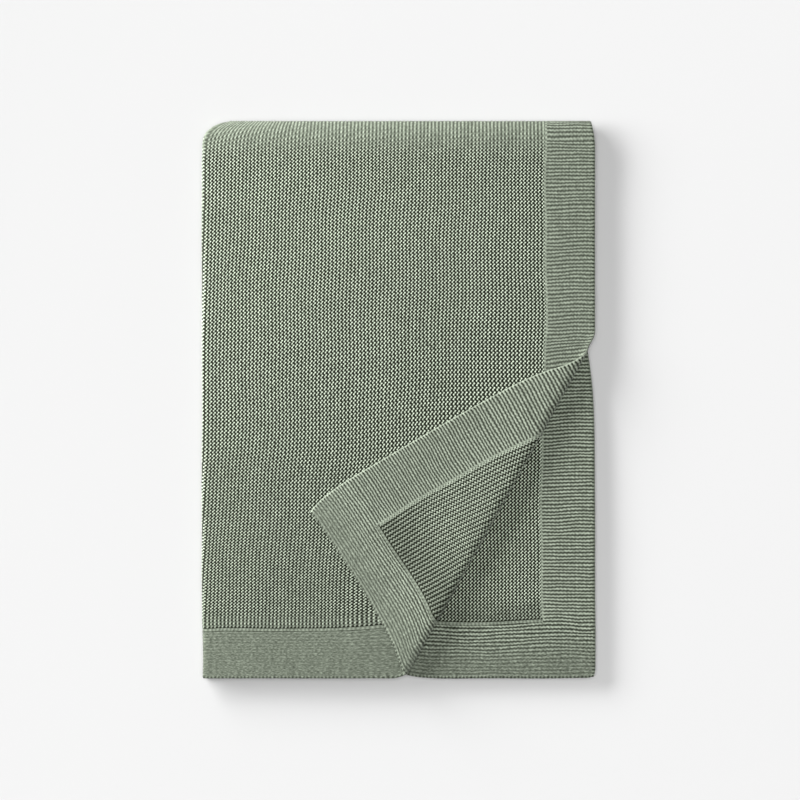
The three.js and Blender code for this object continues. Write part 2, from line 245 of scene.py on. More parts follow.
def corner_draw(x, y):
    """How far the drawn-in corner pulls the cloth sideways at a point."""
    to_top = np.clip(1 - (OUTER_TIP - y) / DRAWN_IN["depth"], 0, 1)
    from_left = np.clip(1 - (x - LENGTHWISE_TIP) / DRAWN_IN["fade"], 0, 1)
    from_right = np.clip(1 - (HALF_WIDTH - x) / DRAWN_IN["depth"], 0, 1)
    folded_corner = DRAWN_IN["most"] * to_top ** DRAWN_IN["power"] * from_left**2
    return folded_corner - FREE_CORNER_DRAW * to_top**2 * from_right**2


def turn_pinch(x, y):
    """How far the cloth is drawn in at the two ends of the line that the corner turns on."""
    above, below = np.maximum(y - SIDE_PINCH["at"], 0), np.maximum(SIDE_PINCH["at"] - y, 0)
    falls_off = (below / SIDE_PINCH["below"]) ** SIDE_PINCH["power"]
    near = np.exp(-((above / SIDE_PINCH["above"]) ** 2) - falls_off)
    near = near * smoothstep(x, HALF_WIDTH - SIDE_PINCH["reach"], HALF_WIDTH)
    inward, lift = SIDE_PINCH["most"] * near, SIDE_PINCH["lift"] * near
    left, right = np.maximum(END_PINCH["at"] - x, 0), np.maximum(x - END_PINCH["at"], 0)
    near = np.exp(-((left / END_PINCH["left"]) ** 2) - right / END_PINCH["right"])
    upward = END_PINCH["most"] * near
    upward = upward * smoothstep(-y, HALF_LENGTH - END_PINCH["reach"], HALF_LENGTH)
    return inward, upward + lift


def wander(length, seed):
    """Slow wander of the outline, so that no side is ruled straight."""
    return sum(most * np.sin(length / reach + k * seed) for most, reach, k in OUTLINE_WANDER)


def to_edges(across, along):
    """Distances to the side edge and to the end edge of the sheet."""
    return SIDE_EDGE - np.abs(across), END_EDGE - np.abs(along)


def lay_flat(across, along):
    """Where a point of the sheet lies before the corner is turned back, seen from above."""
    round_angle = math.pi / 2 * (1 - np.clip(along / ROUND_FOLD_CLOTH, -1, 1))
    side_angle = math.pi / 2 * (1 - np.clip(across / LENGTHWISE_FOLD_CLOTH, -1, 1))
    outward = (1 + np.cos(side_angle)) / 2
    along_share = np.maximum(np.abs(along) - ROUND_FOLD_CLOTH, 0) / ALONG_RUN
    across_share = np.maximum(np.abs(across) - LENGTHWISE_FOLD_CLOTH, 0) / ACROSS_RUN
    upper = np.where(across > 0, SET_BACK["top"], SET_BACK["second"])
    lower = np.where(across > 0, SET_BACK["bottom"], SET_BACK["third"])
    set_back = np.where(along > 0, upper, lower)
    seed = np.where(along > 0, 1, 2)

    tip_ease = CORNER_EASE * (1 - smoothstep(np.abs(across), 0, CORNER_EASE_REACH))
    side_ease = CORNER_EASE * (1 - smoothstep(np.abs(along), 0, CORNER_EASE_REACH))
    round_reach = lerp(INNER_REACH, OUTER_REACH, outward)
    round_start = OUTER_TIP - lerp(TIP_GAP + tip_ease, 0, outward) - round_reach
    end_y = -HALF_LENGTH + set_back * smoothstep(across_share, 0, 1)
    y = lerp(round_start, end_y, along_share) + round_reach * np.sin(round_angle)

    side_reach = LENGTHWISE_FOLD_REACH + side_ease
    end_x = HALF_WIDTH - set_back * smoothstep(along_share, 0, 1)
    x = lerp(LENGTHWISE_TIP + side_reach, end_x, across_share)
    x = x - side_reach * np.sin(side_angle)
    x = x + along_share * (1 - 0.5 * across_share) * wander(y, seed) + corner_draw(x, y)
    y = y + along_share * across_share * wander(x, seed + END_SEED)
    inward, upward = turn_pinch(x, y)
    on_top = (across > 0) & (along > 0)
    on_flap = smoothstep(SIDE_PINCH["at"] - y, 0, SIDE_PINCH_SHARE["change"])
    top_share = lerp(SIDE_PINCH_SHARE["top"], SIDE_PINCH_SHARE["flap"], on_flap)
    inward = inward * np.where(on_top, top_share, 1)
    to_side, to_end = to_edges(across, along)
    rounding = CORNER_ROUNDING * (1 - smoothstep(to_side, 0, CORNER_ROUNDING_REACH))
    rounding = rounding * (1 - smoothstep(to_end, 0, CORNER_ROUNDING_REACH))
    rounding = np.where(on_top, 0, rounding)
    return x - inward - rounding, y + upward + rounding, round_angle, outward


def turn_frame(x, y):
    """Distances of a point past the line of the turned back corner, and along it."""
    from_x, from_y = x - TURN_TOP[0], y - TURN_TOP[1]
    side = from_x * TURN_SIDE[0] + from_y * TURN_SIDE[1]
    line = from_x * TURN_LINE[0] + from_y * TURN_LINE[1]
    return side, line


def from_turn_frame(side, line):
    """The point at those two distances."""
    x = TURN_TOP[0] + side * TURN_SIDE[0] + line * TURN_LINE[0]
    y = TURN_TOP[1] + side * TURN_SIDE[1] + line * TURN_LINE[1]
    return x, y


def edge_shift(shape, beyond, to_edge, to_other_edge):
    """How far the turned back cloth is shifted along with one of its edges."""
    share = 1 - np.exp(-((beyond / shape["reach"]) ** shape["power"]))
    share = share * np.exp(-to_edge / shape["inward"])
    return shape["most"] * share * (1 - np.exp(-to_other_edge / shape["corner"]))


def turn_corner(x, y, to_side, to_end):
    """Where the turned back corner takes a point of the flat top layer.

    Its side edge is bowed out, and its end edge is pulled in.
    """
    flat_side, flat_line = turn_frame(x, y)
    past = flat_side - TURN_START
    beyond = np.maximum(past - TURN_CLOTH, 0) * (1 - FLAP_SHRINK)
    angle = math.pi * np.clip(past / TURN_CLOTH, 0, 1)
    bow = edge_shift(FLAP_BOW, beyond, to_side, to_end)
    pull = edge_shift(FLAP_PULL, beyond, to_end, to_side)
    side = TURN_START + TURN_REACH * np.sin(angle) - beyond
    side = side - TURN_SIDE[0] * bow - TURN_SIDE[1] * pull
    line = flat_line - FLAP_SHEAR * beyond + TURN_LINE[0] * bow + TURN_LINE[1] * pull
    settled = smoothstep(beyond, 0, FLAP_SETTLE)
    rise = TURN_RISE * (1 - np.cos(angle)) / 2 - (TURN_RISE - FLAP_PITCH) * settled
    turned_x, turned_y = from_turn_frame(side, line)
    turned = past > 0
    x, y = np.where(turned, turned_x, x), np.where(turned, turned_y, y)
    return x, y, np.where(turned, rise, 0)


def place(across, along):
    """Middle of the cloth at points of the sheet."""
    x, y, round_angle, outward = lay_flat(across, along)
    on_top = (across > 0) & (along > 0)
    to_side, to_end = to_edges(across, along)
    turned_x, turned_y, rise = turn_corner(x, y, to_side, to_end)
    x, y = np.where(on_top, turned_x, x), np.where(on_top, turned_y, y)
    bottom, third, second, top = layer_heights(x, y)
    upper, lower = lerp(second, top, outward), lerp(third, bottom, outward)
    level = (upper + lower) / 2 + np.cos(round_angle) * (upper - lower) / 2
    return np.stack([x, y, level + np.where(on_top, rise, 0)], axis=-1)


def wider_at_turn(across):
    """How much wider the end border is pulled where the corner turns back across it."""
    off = (across - TURN_BORDER["at"]) / TURN_BORDER["reach"]
    return TURN_BORDER["wider"] * np.exp(-(off**2))


def border_widths(across):
    """Widths of the side and end borders, which are pulled wider in the lower layers."""
    lower = 1 - smoothstep(across, -EVEN_ROWS_FROM, 0)
    side = lerp(BORDER_WIDTH, LOWER_SIDE_BORDER_WIDTH, lower)
    end = lerp(BORDER_WIDTH, LOWER_END_BORDER_WIDTH, lower)
    return side, end + wider_at_turn(across)


def cloth_thickness(across, along):
    """A thinner border all round, and a groove where it joins the field."""
    side_border, end_border = border_widths(across)
    to_side, to_end = to_edges(across, along)
    past = np.minimum(to_side - side_border, to_end - end_border) / JOIN_HALF_WIDTH
    border = lerp(JOIN_THICKNESS, BORDER_THICKNESS, np.clip(-past, 0, 1))
    return np.where(past < 0, border, lerp(JOIN_THICKNESS, THICKNESS, np.clip(past, 0, 1)))


def squeezed(across, along):
    """Share of half the thickness left where the two folds cross and squeeze the cloth."""
    off_side = smoothstep(np.abs(across), LENGTHWISE_FOLD_CLOTH, 4 * LENGTHWISE_FOLD_CLOTH)
    off_round = smoothstep(np.abs(along), ROUND_FOLD_CLOTH, 2 * ROUND_FOLD_CLOTH)
    return 1 - CORNER_SQUEEZE * (1 - off_side) * (1 - off_round)


def face_normal(across, along):
    """Unit vectors out of the face of the cloth."""
    step = 0.4
    across_way = place(across + step, along) - place(across - step, along)
    along_way = place(across, along + step) - place(across, along - step)
    normal = np.cross(along_way, across_way)
    return normal / np.linalg.norm(normal, axis=-1, keepdims=True)


# The knit. These take numbers or shader values, with the cosine that goes with them. u counts
# stitches out from the lengthwise fold, and v counts rows out from the round fold.


def field_stitches(u, v, cos, slant=SLANT):
    """Slanted bars of yarn in zigzag columns, with open gaps beside them."""
    column, row = cos(TURN * (u - 0.25)), cos(TURN * (v + 0.25))
    links = 0.35 * cos(TURN * u) + 0.1 * cos(TURN * v)
    bars = column * row + slant * cos(TURN * u) * cos(TURN * v)
    return bars + 0.15 * (column - row) - links


def row_climb(u, v):
    """How many rows the stitches of the top layer climb towards the right, up to a column."""
    side = np.clip(u, 0, CLIMB["columns"])
    climbed = CLIMB["a column"] * (side - side**3 / (3 * CLIMB["columns"] ** 2))
    later = smoothstep(u, *CLIMB["later"])
    start, end = (lerp(*rows, later) for rows in zip(CLIMB["left"], CLIMB["right"]))
    return climbed * (1 - smoothstep((v - start) / (end - start), 0, 1))


def ribs(u, v, cos):
    """Plain upright ribs, as the field shows where it rounds the end fold."""
    return cos(TURN * (u - RIB_PHASE)) + 0.12 * cos(TURN * (v + u))


def border_ridges(u, v, cos):
    """Level ridges with a small wave along each."""
    return cos(TURN * (v - 0.25) + 0.35 * cos(TURN * u)) + 0.1 * cos(TURN * (u - 0.25))


def back_stitches(u, v, cos, straighter=0):
    """The back of the field: lines of yarn that step to and fro, less so beside the end border."""
    step = cos(TURN * (v - 0.25))
    line = cos(TURN * (u - 0.5) - (1.5 - straighter) * step)
    return line + (0.2 - 0.1 * straighter) * step


def meet_stitches(u, v):
    """Rows moved by up to a quarter, so that the lines keep to the tops and gaps of stitches."""
    climb = row_climb(u, v)
    off = climb - np.round(2 * climb) / 2
    in_field = (u > 0) & (u < COLUMNS - JOIN_STITCHES) & (v > 0) & (v < ROWS - LEVEL_ROWS)
    return v - np.where(in_field, off, 0)


def knit_lines(field, border, border_step):
    """Lines of the knit on both sides of a fold, two to a stitch of the field, and the edges."""
    edge = field + border
    in_border = np.arange(field + 0.25, edge - 0.3, border_step)
    out = np.concatenate([np.arange(0.25, field, 0.5), in_border, (edge - 0.25, edge)])
    return np.concatenate([-out[::-1], out])


def sheet_coordinates(u, v):
    """The sheet's own lengths at stitch and row counts."""
    upper, lower = (
        np.interp(np.abs(u), (0, COLUMNS, ALL_COLUMNS), (0, SIDE_EDGE - border, SIDE_EDGE))
        for border in (BORDER_WIDTH, LOWER_SIDE_BORDER_WIDTH)
    )
    across = np.where(u > 0, upper, -lower)
    end = END_EDGE - BORDER_WIDTH
    even_end = END_EDGE - LOWER_END_BORDER_WIDTH
    fine = np.linspace(0, end, ROW_STEPS)
    heights = np.interp(fine, *zip(*ROW_HEIGHTS))
    counted = np.concatenate([[0], np.cumsum(np.diff(fine) / heights[1:])])
    counted *= ROWS / counted[-1]
    uneven = np.interp(np.abs(v), np.append(counted, ALL_ROWS), np.append(fine, END_EDGE))
    even = np.interp(np.abs(v), (0, ROWS, ALL_ROWS), (0, even_end, END_EDGE))
    size = lerp(even, uneven, smoothstep(across, -EVEN_ROWS_FROM, 0))
    by_join = smoothstep(np.abs(v), ROWS - TURN_BORDER["rows"], ROWS)
    by_join = by_join * np.interp(np.abs(v), (ROWS, ALL_ROWS), (1, 0))
    return across, np.sign(v) * (size - wider_at_turn(across) * by_join)


def knit_wander(across, along):
    """How far the lines of the knit stray sideways and lengthways, in millimetres."""
    share = smoothstep(np.minimum(*to_edges(across, along)), *STRAY_FROM["edge"])
    share = share * smoothstep(np.abs(along), *STRAY_FROM["round fold"])
    share = share * smoothstep(np.abs(across), *STRAY_FROM["lengthwise fold"])
    sideways, lengthways = (
        sum(most * np.sin(one / length + other / far) for most, length, far in STRAY[way])
        for way, one, other in (("sideways", along, across), ("lengthways", across, along))
    )
    return share * sideways - column_lean(across, along), share * lengthways


def column_lean(across, along):
    """How far the columns lean to the right down the top layer, in millimetres."""
    most = np.interp(along, *zip(*LEAN))
    at, start, end = zip(*LEAN_ENDS)
    start, end = np.interp(along, at, start), np.interp(along, at, end)
    died = smoothstep((across - start) / (end - start), 0, 1)
    return most * (1 - died) * smoothstep(across, -LEAN_END_BELOW, 0)


def fade_to_ribs(across, along):
    """How far the stitches show as plain ribs, at the round fold."""
    return 1 - smoothstep(np.abs(along), *RIBS_FADE)


def is_seen(side, across, along):
    """Whether a block of the cloth's face (side 1) or back (side -1) can be seen."""
    x, y, *_ = lay_flat(across, along)
    flat_side, flat_line = turn_frame(x, y)
    past = flat_side - TURN_START
    on_top = (across > 0) & (along > 0)
    if side > 0:
        beyond = -past
        under_x, under_y = from_turn_frame(
            TURN_START + TURN_CLOTH + beyond / (1 - FLAP_SHRINK), flat_line + FLAP_SHEAR * beyond
        )
        covered = (past < -UNSEEN["turn"]) & (under_x < HALF_WIDTH - UNSEEN["flap"])
        covered &= under_y > -HALF_LENGTH + UNSEEN["flap"]
        shown = on_top & (past < TURN_CLOTH + UNSEEN["roll"]) & ~covered
        rounded = (across > 0) & (np.abs(along) < ROUND_FOLD_CLOTH)
        by_fold = np.abs(across) < np.where(along > 0, UNSEEN["top fold"], UNSEEN["low fold"])
        return shown | rounded | by_fold
    flap = on_top & (past > -UNSEEN["roll"])
    corner = (across < 0) & (along > 0) & (flat_side > -UNSEEN["corner"])
    return flap | corner


def stitch_relief(side, u, v, across, along, height, rng):
    """How far each point of a face stands out of the plain cloth, in millimetres."""
    field = field_stitches if side > 0 else back_stitches
    u_size, v_size = np.abs(u), np.abs(v)
    second = (side < 0) & (across < 0)
    climb = row_climb(u, v) if side > 0 else 0
    stitches = field(u_size, v_size + climb, np.cos)
    # Shallower gaps where the lines step by half a row to keep up with the climbing rows
    by_step = smoothstep(np.abs(climb - np.round(2 * climb) / 2), *STEP_FADE)
    stitches = np.where(stitches < 0, 1 - RELIEF["stepped"] * by_step, 1) * stitches
    stitches = np.where(second, field_stitches(u_size, v_size, np.cos), stitches)
    plain = ribs(u_size, v_size, np.cos)
    knit = lerp(stitches, RELIEF["ribs"] * plain, fade_to_ribs(across, along))
    uneven = 1 + RELIEF["uneven"] * rng.standard_normal(knit.shape)
    knit = np.where(knit > 0, knit, RELIEF["gaps"] * knit) * uneven
    border = RELIEF["border"] * border_ridges(u_size, v_size, np.cos)
    knit = np.where((u_size > COLUMNS) | (v_size > ROWS), border, knit)
    to_join = np.minimum(np.abs(u_size - COLUMNS), np.abs(v_size - ROWS))
    joined = np.where((u_size > COLUMNS) & (v_size > ROWS), 1, to_join)
    knit = np.where(joined < JOIN_STITCHES, RELIEF["join"], knit)
    to_edge = np.minimum(*to_edges(across, along))
    on_ground = (side > 0) & (across > 0) & (along < ON_GROUND_FROM)
    return np.where(on_ground, 0, height * knit * smoothstep(to_edge, 0, EDGE_CALM))


class Skin:
    """One side of the cloth: its points on the lines of the knit, and its triangles."""

    def __init__(self, side, lines, blocks, relief_height):
        self.side = side
        u, v = np.meshgrid(*lines, indexing="ij")
        if side > 0:
            v = meet_stitches(u, v)
        across, along = sheet_coordinates(u, v)
        sideways, lengthways = knit_wander(across, along)
        self.u, self.v = u, v
        self.across, self.along = across + sideways, along + lengthways
        rng = np.random.default_rng(SEED + side)
        self.relief = stitch_relief(side, u, v, self.across, self.along, relief_height, rng)
        self.triangles = self.net(blocks)

    def net(self, blocks):
        """Triangles on the lines: all of them in seen blocks, and as few as fit elsewhere."""
        u_cuts, v_cuts = blocks
        u_middle = (u_cuts[:-1] + u_cuts[1:]) // 2
        v_middle = (v_cuts[:-1] + v_cuts[1:]) // 2
        grid = np.ix_(u_middle, v_middle)
        seen = is_seen(self.side, self.across[grid], self.along[grid])
        seen[[0, -1], :] = True
        seen[:, [0, -1]] = True
        number = np.arange(self.u.size).reshape(self.u.shape)
        fine = np.repeat(np.repeat(seen, np.diff(u_cuts), 0), np.diff(v_cuts), 1)
        i, j = np.nonzero(fine)
        a, b = number[i, j], number[i + 1, j]
        c, d = number[i, j + 1], number[i + 1, j + 1]
        height = self.relief.ravel()
        ridge = height[a] + height[d] >= height[b] + height[c]
        first = np.where(ridge[:, None], np.stack([a, c, d], 1), np.stack([a, c, b], 1))
        second = np.where(ridge[:, None], np.stack([a, d, b], 1), np.stack([b, c, d], 1))
        plain = [
            corner
            for bu, bv in zip(*np.nonzero(~seen))
            for corner in self.plain_block(seen, number, u_cuts, v_cuts, bu, bv)
        ]
        return np.concatenate([first, second, np.array(plain)])

    @staticmethod
    def plain_block(seen, number, u_cuts, v_cuts, bu, bv):
        """Few triangles over a block that isn't seen, which still meet its neighbours' points."""
        low_u, high_u, low_v, high_v = u_cuts[bu], u_cuts[bu + 1], v_cuts[bv], v_cuts[bv + 1]

        def side(seen_beyond, low, high):
            return list(range(low, high)) if seen_beyond else [low]

        ring = [number[low_u, j] for j in side(seen[bu - 1, bv], low_v, high_v)]
        ring += [number[i, high_v] for i in side(seen[bu, bv + 1], low_u, high_u)]
        back = side(seen[bu + 1, bv], low_v, high_v)
        ring += [number[high_u, high_v + low_v - j] for j in back]
        back = side(seen[bu, bv - 1], low_u, high_u)
        ring += [number[high_u + low_u - i, low_v] for i in back]
        if len(ring) == 4:
            return [(ring[0], ring[1], ring[2]), (ring[0], ring[2], ring[3])]
        if high_u - low_u < 2 or high_v - low_v < 2:
            # Too narrow for a point in the middle, so a fan from one corner
            return [(ring[-1], p, q) for p, q in zip(ring[:-2], ring[1:-1])]
        hub = number[(low_u + high_u) // 2, (low_v + high_v) // 2]
        return [(hub, p, q) for p, q in zip(ring, ring[1:] + ring[:1])]

    def points(self, across, along, relief):
        """Places of the skin's points, in metres."""
        middle, normal = place(across, along), face_normal(across, along)
        half = cloth_thickness(across, along) / 2
        inside = half * squeezed(across, along)
        to_edge = np.minimum(*to_edges(across, along))
        rounded = EDGE_KEEP + (1 - EDGE_KEEP) * smoothstep(to_edge, *EDGE_ROUNDING)
        if self.side < 0:
            offset = -(inside * rounded + relief)
        else:
            on_ground = (across > 0) & (along < 0)
            out = np.where(across > 0, half, inside) * rounded
            offset = np.where(on_ground, THICKNESS / 2 * rounded, out) + relief
        return (middle + normal * offset[..., None]) * MM


def block_cuts(lines, fold_half, fold_step):
    """Numbers of the lines that bound the blocks: fine by the fold, and one line at each edge."""
    fold = np.nonzero(np.abs(lines) < fold_half)[0]
    low, high = fold[0], fold[-1]
    cuts = {0, 1, len(lines) - 2, len(lines) - 1}
    cuts |= set(range(low, high + 1, fold_step)) | {high}
    cuts |= set(range(low, 1, -BLOCK)) | set(range(high, len(lines) - 2, BLOCK))
    return np.array(sorted(cuts))


def knit_mesh(relief_height, size):
    """The whole cloth as one closed mesh, with its maps."""
    u_lines = knit_lines(COLUMNS, SIDE_BORDER_STITCHES, 1)
    u_lines = np.sort(np.append(u_lines, FOLD_LINES))
    v_lines = knit_lines(ROWS, END_BORDER_ROWS, 0.5)
    lines = u_lines, v_lines
    blocks = block_cuts(u_lines, *LENGTHWISE_BLOCKS), block_cuts(v_lines, *ROUND_BLOCKS)
    skins = [Skin(side, lines, blocks, relief_height / MM) for side in (-1, 1)]
    count = u_lines.size * v_lines.size
    face, back = skins[1].triangles, skins[0].triangles[:, ::-1] + count
    rim = rim_triangles(face, count)
    corners = np.concatenate([face, back, rim])
    part = np.repeat([0, 1, 2], [len(face), len(back), len(rim)])

    used, renumbered = np.unique(corners, return_inverse=True)
    corners = renumbered.reshape(-1, 3)
    on_back = used >= count
    at = used % count
    values = {
        name: np.where(on_back, *(getattr(skin, name).ravel()[at] for skin in skins))
        for name in ("u", "v", "across", "along", "relief")
    }
    across, along, relief = values["across"], values["along"], values["relief"]
    places = [skin.points(across, along, relief) for skin in skins]
    places = np.where(on_back[:, None], *places)
    mesh = bpy.data.meshes.new("knit_throw")
    mesh.vertices.add(len(places))
    mesh.vertices.foreach_set("co", (places * size).ravel())
    mesh.loops.add(corners.size)
    mesh.loops.foreach_set("vertex_index", corners.ravel())
    mesh.polygons.add(len(corners))
    mesh.polygons.foreach_set("loop_start", np.arange(0, corners.size, 3))
    mesh.polygons.foreach_set("use_smooth", np.ones(len(corners), bool))
    centre = across[corners].mean(1)
    turned_back = (part == 1) & (centre > 0)
    mesh.polygons.foreach_set("material_index", turned_back.astype(np.int32))
    flat = corners.ravel()
    part, centre = np.repeat(part, 3), np.repeat(centre, 3)
    u, v = values["u"][flat], values["v"][flat]
    add_map(mesh, "Stitches", np.where(np.abs(u) < SIGNED_COLUMNS, u, np.abs(u)), np.abs(v))
    add_map(mesh, "Climb", row_climb(u, v), 0 * v)
    add_map(mesh, "Lie", fade_to_ribs(across, along)[flat], np.sign(across[flat]) * 0.5 + 0.5)
    add_map(mesh, "OFBake", *bake_map(across[flat], along[flat], part, centre, on_back[flat]))
    mesh.update(calc_edges=True)
    mesh.validate()
    return mesh


def rim_triangles(face, count):
    """Joins the edge of the face to the edge of the back, whose points are numbered alike."""
    ways = np.concatenate([face[:, [0, 1]], face[:, [1, 2]], face[:, [2, 0]]])
    key = ways.min(1) * np.int64(count) + ways.max(1)
    _, first, times = np.unique(key, return_index=True, return_counts=True)
    a, b = ways[first[times == 1]].T
    near, far = (b, a, a + count), (b, a + count, b + count)
    return np.concatenate([np.stack(near, 1), np.stack(far, 1)])


def add_map(mesh, name, first, second):
    layer = mesh.uv_layers.new(name=name)
    layer.uv.foreach_set("vector", np.stack([first, second], 1).astype(np.float32).ravel())


def bake_map(across, along, part, centre, on_back):
    """A map that gives most of its room to the cloth that is seen.

    The face has its left two thirds, the rim a narrow strip, and the back's halves the rest.
    """
    side = np.interp(across, (-SIDE_EDGE, -30, SIDE_EDGE), (0.003, 0.03, 0.68))
    end = np.interp(along, (-END_EDGE, -75, END_EDGE), (0.003, 0.03, 0.995))
    back_side = np.interp(np.abs(across), (0, 290, SIDE_EDGE), (0.702, 0.715, 0.997))
    back_end = np.interp(along, (-END_EDGE, 350, END_EDGE), (0, 0.02, 0.485))
    back_end = back_end + np.where(centre > 0, 0.005, 0.505)
    side_rim = np.abs(across) > SIDE_EDGE - 0.01
    band = np.where(side_rim, np.where(across > 0, 0, 1), np.where(along > 0, 2, 3))
    rim_side = 0.684 + 0.004 * band + 0.003 * on_back
    rim_end = np.where(side_rim, along / END_EDGE, across / SIDE_EDGE)
    rim_end = 0.5 + 0.49 * rim_end
    horizontal = np.select([part == 0, part == 1], [side, back_side], rim_side)
    vertical = np.select([part == 0, part == 1], [end, back_end], rim_end)
    return horizontal, vertical


def side_light_places():
    """Round lights side by side, low at the upper left, that make one wide soft light."""
    turn, lift = math.radians(SIDE_LIGHT["round"]), math.radians(SIDE_LIGHT["up"])
    level = math.cos(lift)
    middle = Vector((-math.cos(turn) * level, math.sin(turn) * level, math.sin(lift)))
    beside = Vector((math.sin(turn), math.cos(turn), 0))
    steps = range(-(SIDE_LIGHTS // 2), SIDE_LIGHTS // 2 + 1)
    return [middle * SIDE_LIGHT["far"] + beside * SIDE_LIGHT["apart"] * step for step in steps]


# The finishes


def shader_maths(operation, swapped=False):
    """An operator on shader values, which adds a Math node."""

    def work_out(value, other):
        pair = (other, value) if swapped else (value, other)
        return value.finish.maths(operation, *pair)

    return work_out


class Shade:
    """A shader value, which adds the nodes of what is worked out from it."""

    def __init__(self, finish, socket):
        self.finish, self.socket = finish, socket

    __add__ = __radd__ = shader_maths("ADD")
    __sub__, __rsub__ = shader_maths("SUBTRACT"), shader_maths("SUBTRACT", swapped=True)
    __mul__ = __rmul__ = shader_maths("MULTIPLY")
    __truediv__, __rtruediv__ = shader_maths("DIVIDE"), shader_maths("DIVIDE", swapped=True)


class Finish:
    """A material whose nodes are added by calls and by the values that they return."""

    def __init__(self, name):
        self.material = bpy.data.materials.new(name)
        self.material.use_nodes = True
        self.tree = self.material.node_tree
        self.tree.nodes.clear()

    def node(self, kind, settings=None, out=0, inputs=None, **values):
        """Adds a node: its settings first, then its sockets, by number or with _ for a space."""
        node = self.tree.nodes.new(kind)
        for name, value in (settings or {}).items():
            setattr(node, name, value)
        named = {name.replace("_", " "): value for name, value in values.items()}
        for key, value in {**(inputs or {}), **named}.items():
            if isinstance(value, Shade):
                self.tree.links.new(value.socket, node.inputs[key])
            else:
                node.inputs[key].default_value = value
        return Shade(self, node.outputs[out]) if node.outputs else None

    def maths(self, operation, *values):
        return self.node("ShaderNodeMath", {"operation": operation}, 0, dict(enumerate(values)))

    def cos(self, value):
        return self.maths("COSINE", value)

    def rise(self, value, low, high):
        """0 below low and 1 above high, with a soft step between."""
        return self.node(
            "ShaderNodeMapRange", {"interpolation_type": "SMOOTHSTEP"},
            Value=value, From_Min=low, From_Max=high,
        )

    def change(self, value, most, low, high):
        """0 below low and most above high."""
        return most * self.rise(value, low, high)

    def band(self, value, low, high, soft):
        """1 between low and high, and 0 outside, with soft ends."""
        started = self.rise(value, low - soft, low + soft)
        return started - self.rise(value, high - soft, high + soft)

    def noise(self, at, scale, detail):
        return self.node(
            "ShaderNodeTexNoise", {"noise_dimensions": "2D"}, Vector=at, Scale=scale, Detail=detail
        )

    def vectors(self, operation, *values, out=0, **named):
        inputs = dict(enumerate(values))
        return self.node("ShaderNodeVectorMath", {"operation": operation}, out, inputs, **named)

    def colour(self, first, second, share):
        inputs = {0: share, 6: first, 7: second}
        return self.node("ShaderNodeMix", {"data_type": "RGBA"}, 2, inputs)

    def map_values(self, name):
        """The two values of one of the mesh's maps."""
        point = self.node("ShaderNodeUVMap", {"uv_map": name})
        parts = [self.node("ShaderNodeSeparateXYZ", out=i, Vector=point) for i in (0, 1)]
        return point, *parts

    def surface(self, **values):
        shader = self.node("ShaderNodeBsdfPrincipled", **values)
        self.node("ShaderNodeOutputMaterial", Surface=shader)
        return self.material


def field_light(finish, u, v, climb, fade, outer, back):
    """Brightness of the field, which fades to ribs round the fold."""
    cos = finish.cos
    if back:
        straighter = finish.change(v, *STRAIGHTER)
        depth = BACK_LIGHT["depth"] - BACK_LIGHT["straighter"] * straighter
        light = BACK_LIGHT["middle"] + depth * back_stitches(u, v, cos, straighter)
    else:
        stitched = field_stitches(u, v + climb, cos, SLANT + finish.change(v, *MORE_SLANT))
        light = FIELD_LIGHT["middle"] + FIELD_LIGHT["fold"] * fade
        light = light + FIELD_LIGHT["depth"] * stitched
        flatter = finish.change(v, *FLAT_BELOW) * (1 - outer)
        flatter = flatter + finish.change(v, *FLAT_ABOVE) * outer
        light = lerp(light, FIELD_LIGHT["flat"], flatter)
        # The last rows of the top layer stretch into ribs before the end border
        stretched = RIB_LIGHT["middle"] + RIB_LIGHT["join"] * cos(TURN * (u - RIB_PHASE))
        light = lerp(light, stretched, finish.change(v, *RIBS_BY_JOIN) * outer)
    rib_light = RIB_LIGHT["middle"] + RIB_LIGHT["fold"] * ribs(u, v, cos)
    return lerp(finish.maths("MAXIMUM", light, 0.0), rib_light, fade)


def border_light(finish, stitches, u, v, outer, fuzz, back):
    """Brightness of the side border, with strong level ridges, and of the end border."""
    slow = finish.noise(finish.vectors("MULTIPLY", stitches, SLOW_STRETCH), 1.0, 1.0)
    streaks = finish.noise(finish.vectors("MULTIPLY", stitches, STREAK_STRETCH), 1.0, 2.0)
    ridges = border_ridges(u, v + (slow - 0.5) * RIDGE_STRAY, finish.cos)
    from_join = finish.rise(v, ROWS + 2, ALL_ROWS - 2)
    if back:
        border = BACK_BORDER
        side_ridges, end = border["ridges"], border["end"]
        end_ridges = border["ridges"] - 0.13 * from_join
    else:
        border = FACE_BORDER
        side_ridges, end = border["ridges"] - 0.07 * outer, border["end"] - 0.01 * (1 - outer)
        end_ridges = (0.27 - 0.19 * from_join) * (1 - 0.84 * outer)
    side = border["side"] + side_ridges * ridges + BORDER_FUZZ * (fuzz - 0.5)
    return side, end + end_ridges * ridges + border["streaks"] * (streaks - 0.5)


def join_light(finish, light, u, v, in_side, in_end):
    """A light chain where each border joins the field, with open holes inside it, and dark lines
    of painted shade along the end chain.
    """
    cos, band = finish.cos, finish.band
    chain = 0.55 + 0.1 * cos(TURN * v)
    light = lerp(light, chain, band(u, COLUMNS - 0.25, COLUMNS + 0.3, 0.12) * (1 - in_end))
    end_chain = 0.5 + 0.08 * cos(TURN * u)
    within = 1 - in_side
    light = lerp(light, end_chain, band(v, ROWS + 0.1, ROWS + 0.8, 0.12) * within)
    # Painted shade: dark lines along both sides of the end chain
    light = light - 0.3 * within * band(v, ROWS - 0.3, ROWS + 0.02, 0.12)
    return light - 0.18 * within * band(v, ROWS + 0.9, ROWS + 1.12, 0.1)


